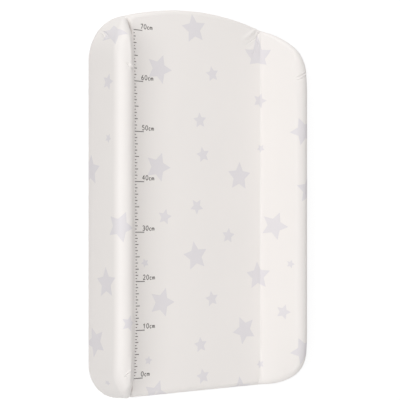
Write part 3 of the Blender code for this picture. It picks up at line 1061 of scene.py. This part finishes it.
def number_strokes():
    """All strokes of the ruler's numbers, each with its share of the stroke's width."""
    strokes = []
    for k, (across, up) in enumerate(RULER_LINE):
        pen = Vector((across * CM + LABEL_SHIFT, up * CM + FOOT_Y + LABEL_RISE, 0))
        for sign in str(10 * k) + "cm":
            width, height = {"c": LETTER_C_SIZE, "m": LETTER_M_SIZE}.get(sign, DIGIT_SIZE)
            for stroke in SIGN_STROKES[sign]:
                strokes.append(([pen + Vector((x * width, y * height, 0)) for x, y in stroke],
                                LETTER_STROKE_SHARE if sign in "cm" else 1))
            pen.x += width + (LETTER_GAP if sign in "cm" else SIGN_GAP)
    return strokes


print("Strokes of the signs:", {sign: len(strokes) for sign, strokes in SIGN_STROKES.items()})

# %% Print the numbers
PRESSED_SHARE = 0.15
STROKE_STEPS = 5
BEAD_SIDES = 10


def make_number_tree():
    tree = Tree("ruler numbers", Float="Stroke width, Pressed share", Object="Film", Material="Ink")
    given = tree.start
    curve = tree.out("GeometryNodeCurveSplineType", {"Curve": given["Geometry"]}, spline_type="CATMULL_ROM")
    fine_curve = tree.out("GeometryNodeSetSplineResolution", {0: curve}, Resolution=STROKE_STEPS)
    half = tree.math("MULTIPLY", given["Stroke width"], 0.5)
    ring = tree.out("GeometryNodeCurvePrimitiveCircle", {"Radius": half}, Resolution=BEAD_SIDES)
    bead = tree.out("GeometryNodeCurveToMesh", {"Curve": fine_curve, "Profile Curve": ring},
                    **{"Fill Caps": True})
    press = tree.out("ShaderNodeCombineXYZ", {"Z": given["Pressed share"]}, X=1.0, Y=1.0)
    return end_print(tree, tree.out("GeometryNodeTransform", {"Geometry": bead, "Scale": press}))


ruler_numbers = make_number_tree().run(
    make_lines("ruler numbers", number_strokes()), "ruler_numbers", Stroke_width=STROKE_WIDTH,
    Pressed_share=PRESSED_SHARE, Film=film_cover, Ink=ruler_ink)
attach(ruler_numbers, "root")
print("Ruler numbers:", len(ruler_numbers.data.polygons), "faces")

# %% Give the film its thickness
def thicken(piece):
    """A film's thickness, on its inner side."""
    thickness = piece.modifiers.new("Film thickness", "SOLIDIFY")
    thickness.thickness = FILM
    thickness.offset = -1


thicken(film_cover)
print("Film", FILM, "m thick")

# %% [markdown]
# ## The foams inside
# Under the film lies a flat foam as large as the mat, and a wedge of foam is glued along each of its sides.
# The real ones are cut from a block, so here too one core is made, a film's thickness smaller than the
# cover, and a flat cut at the pad's height parts it into the flat foam and the two wedges.

# %% Cut the foams
FIT_GAP = 0.0003
GLUE_GAP = 0.0004
SKIN = FILM + FIT_GAP
FOAM_Z = HEM_Z + HEM_BEND + FILM
FOAM_SHARP_ANGLE = math.radians(35)


def foam_core():
    """Closed mesh of the whole core, which fills the cover and gives way where the film is pressed in."""
    core, flat, stations = film_sheet()
    carry_border(core, flat, stations, EDGE_RINGS + WALL_RINGS)
    bmesh.ops.recalc_face_normals(core, faces=core.faces)
    press_creases(core, flat, raised_share=0)
    core.normal_update()
    for vertex in core.verts:
        vertex.co -= vertex.normal * SKIN
    foot = [edge for edge in core.edges if edge.is_boundary]
    for edge in foot:
        for vertex in edge.verts:
            vertex.co.z = FOAM_Z
    bmesh.ops.holes_fill(core, edges=foot)
    return core


def cut_core(core, height, keep_above):
    """Cuts the core at a height. The upper part is closed there, and the lower part is pressed flat."""
    parts = list(core.verts) + list(core.edges) + list(core.faces)
    bmesh.ops.bisect_plane(core, geom=parts, plane_co=(0, 0, height), plane_no=(0, 0, 1),
                           clear_inner=keep_above)
    if keep_above:
        bmesh.ops.holes_fill(core, edges=[edge for edge in core.edges if edge.is_boundary])
    for vertex in core.verts:
        vertex.co.z = vertex.co.z if keep_above else min(vertex.co.z, height)


def add_foam(name, node, core, finish):
    bmesh.ops.recalc_face_normals(core, faces=core.faces)
    mesh = bpy.data.meshes.new(name)
    core.to_mesh(mesh)
    core.free()
    mesh.shade_smooth()
    mesh.set_sharp_from_angle(angle=FOAM_SHARP_ANGLE)
    foam = add_piece(name, mesh, finish)
    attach(foam, "root")
    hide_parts(node)
    return foam


# %% [markdown]
# Cut foam shows its cells: small round pores of uneven size, in a cream that has yellowed here and there.
# Two Voronoi textures give the pores, one coarse and one fine. Inside the pores the colour carries painted
# shade.

# %% Finish of the foam
FOAM_COLOUR = (0.85, 0.80, 0.62, 1)
# Colour of the painted shade inside the pores
FOAM_PORE_SHADE = (0.62, 0.54, 0.34, 1)
FOAM_AGED = (0.96, 0.93, 0.84, 1)


def make_foam_finish():
    finish = Finish("cream foam", roughness=0.95)
    place = {"Vector": finish.place()}
    pores = finish.out("ShaderNodeTexVoronoi", place, Scale=420.0)
    fine = finish.out("ShaderNodeTexVoronoi", place, Scale=1100.0)
    age = finish.out("ShaderNodeTexNoise", place, Scale=6.0, Detail=3.0)
    depth = finish.math("MULTIPLY", pores, fine)
    tone = finish.out("ShaderNodeMapRange", {"Value": depth}, **{"From Max": 0.18})
    # Painted shade: the deeper the pore, the darker its colour
    colour = finish.mix(tone, FOAM_PORE_SHADE, FOAM_COLOUR)
    aged = finish.add("ShaderNodeMix", {"Factor": age, "A": colour}, data_type="RGBA", blend_type="MULTIPLY",
                      B=FOAM_AGED)
    return finish.end(aged.outputs["Result"], finish.bump(depth, strength=0.6, distance=0.0006))


foam_finish = make_foam_finish()
whole_core = foam_core()
base_core = whole_core.copy()
cut_core(base_core, PAD_HEIGHT - SKIN - GLUE_GAP / 2, keep_above=False)
foams = [add_foam("flat_foam", "base_foam", base_core, foam_finish)]
for name, node, hand in (("left_wedge", "wedge_foam_left", -1), ("right_wedge", "wedge_foam_right", 1)):
    core = whole_core.copy()
    cut_core(core, PAD_HEIGHT - SKIN + GLUE_GAP / 2, keep_above=True)
    bmesh.ops.delete(core, geom=[vertex for vertex in core.verts if vertex.co.x * hand < 0], context="VERTS")
    foams.append(add_foam(name, node, core, foam_finish))
print("Foams:", {foam.name: len(foam.data.polygons) for foam in foams})

# %% [markdown]
# ## The board under the foam
# A thin hardboard keeps the mat stiff. It is pressed from brown wood fibre, so its finish is a tangle of
# short fibres: noise drawn out one way, crossed with noise drawn out the other way, and a few dark flecks.
# The CAD board has the right shape already, and only gets this finish.

# %% Finish of the board
BOARD_COLOUR = (0.30, 0.18, 0.09, 1)
BOARD_DARK = (0.16, 0.09, 0.045, 1)
FIBRE_STRETCHES = ((60, 700, 300), (700, 60, 300))


def make_board_finish():
    finish = Finish("brown hardboard", roughness=0.8)
    place = {"Vector": finish.place()}
    strands = []
    for stretch in FIBRE_STRETCHES:
        drawn = finish.out("ShaderNodeMapping", place, Scale=stretch)
        strands.append(finish.out("ShaderNodeTexNoise", {"Vector": drawn}, Scale=1.0, Detail=4.0))
    fibres = finish.math("MULTIPLY", *strands)
    tone = finish.out("ShaderNodeMapRange", {"Value": fibres}, **{"From Min": 0.12, "From Max": 0.4})
    colour = finish.mix(tone, BOARD_DARK, BOARD_COLOUR)
    return finish.end(colour, finish.bump(fibres, strength=0.5, distance=0.0003))


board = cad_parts["stiffening_board"]
for place in board.material_slots:
    place.material = make_board_finish()
print("Board finish on", len(board.material_slots), "material place")

# %% [markdown]
# ## The back film
# The back is a plain flat film, welded to the hem of the cover all round. The weld is a shallow groove
# pressed by a ribbed bar, so a row of fine ribs stands in it, and four vent holes let the air out when
# somebody leans on the mat. The film is one bmesh of rings that follow the mat's outline.

# %% Mesh of the back film
WELD_EDGE_MARGIN = 0.006
WELD_SETBACK = 0.004
WELD_WIDTH = 0.003
WELD_DEPTH = 0.0002
WELD_BEVEL = 0.0003
VENT_RADIUS = 0.0025
VENT_SIDES = 32
VENT_X = HALF_WIDTH * 0.5
VENT_Y = HEAD_Y * 0.6


def outline_ring(inset, height):
    """Closed ring of points that follows the mat's outline at an inset."""
    stations = [foot_station(x) for x in COLUMN_X] + [head_station(x) for x in reversed(COLUMN_X)]
    points = [inner + out * (reach - inset) for inner, out, radius, reach in stations]
    return [Vector((point.x, point.y, height)) for point in points]


def back_film_mesh():
    """Under side of the back film: a rim, the weld's groove, and the middle with its vents."""
    weld = HEM_BEND + WELD_EDGE_MARGIN + WELD_SETBACK
    plan = [(HEM_BEND + WELD_EDGE_MARGIN, 0), (weld, 0), (weld + WELD_BEVEL, WELD_DEPTH),
            (weld + WELD_WIDTH - WELD_BEVEL, WELD_DEPTH), (weld + WELD_WIDTH, 0)]
    film = bmesh.new()
    before = []
    for inset, height in plan:
        ring = [film.verts.new(point) for point in outline_ring(inset, height)]
        for k in range(len(before)):
            film.faces.new((before[k - 1], before[k], ring[k], ring[k - 1]))
        before = ring
    edges = [film.edges.get((before[k - 1], before[k])) for k in range(len(before))]
    for across in (-1, 1):
        for along in (-1, 1):
            centre = Matrix.Translation((across * VENT_X, along * VENT_Y, 0))
            vent = bmesh.ops.create_circle(film, segments=VENT_SIDES, radius=VENT_RADIUS, matrix=centre)
            edges += list({edge for vertex in vent["verts"] for edge in vertex.link_edges})
    bmesh.ops.triangle_fill(film, edges=edges, use_beauty=True, normal=(0, 0, -1))
    for face in film.faces:
        face.normal_update()
        if face.normal.z > 0:
            face.normal_flip()
    mesh = bpy.data.meshes.new("back_film")
    film.to_mesh(mesh)
    film.free()
    return mesh


back_mesh = back_film_mesh()
print("Back film mesh:", len(back_mesh.polygons), "faces")

# %% Build the back film
BACK_COLOUR = (0.86, 0.85, 0.84, 1)
BACK_COLOUR_SHADE = (0.83, 0.82, 0.81, 1)
back_finish = make_film_finish("plain back film", BACK_COLOUR, BACK_COLOUR_SHADE, roughness=0.5)
back_film = add_piece("back_film", back_mesh, back_finish)
thicken(back_film)
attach(back_film, "root")
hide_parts("back_cover")

# %% [markdown]
# The ribs of the weld repeat along a path, which is what Geometry Nodes do best: the tree cuts the weld's
# middle line into even steps and puts one small rounded rib across it at each step.

# %% Ribs of the weld
RIB_COUNT = 780
RIB_LENGTH = 0.0020
RIB_WIDTH = 0.0009


def make_rib_tree():
    tree = Tree("weld ribs", Int="Count", Float="Rib length, Rib width, Rib height", Material="Film")
    given = tree.start
    points = tree.add("GeometryNodeCurveToPoints", {"Curve": given["Geometry"], "Count": given["Count"]},
                      mode="COUNT").outputs
    ball = tree.out("GeometryNodeMeshUVSphere", Segments=8, Rings=4, Radius=0.5)
    rib = tree.out("GeometryNodeSetShadeSmooth", {0: ball})
    size = tree.out("ShaderNodeCombineXYZ", {"X": given["Rib length"], "Y": given["Rib width"],
                                             "Z": given["Rib height"]})
    turn = tree.out("FunctionNodeAlignRotationToVector", {"Vector": points["Tangent"]}, axis="Y",
                    pivot_axis="Z")
    spread = tree.out("GeometryNodeInstanceOnPoints", {"Points": points["Points"], "Instance": rib,
                                                       "Rotation": turn, "Scale": size})
    tree.finish(spread, "Film")
    return tree


weld_line = outline_ring(HEM_BEND + WELD_EDGE_MARGIN + WELD_SETBACK + WELD_WIDTH / 2, WELD_DEPTH)
weld_ribs = make_rib_tree().run(
    make_lines("weld line", [(weld_line, 1)], closed=True), "weld_ribs", Count=RIB_COUNT,
    Rib_length=RIB_LENGTH, Rib_width=RIB_WIDTH, Rib_height=2 * WELD_DEPTH, Film=back_finish)
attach(weld_ribs, "root")
print("Weld ribs:", RIB_COUNT, "ribs,", len(weld_ribs.data.polygons), "faces")
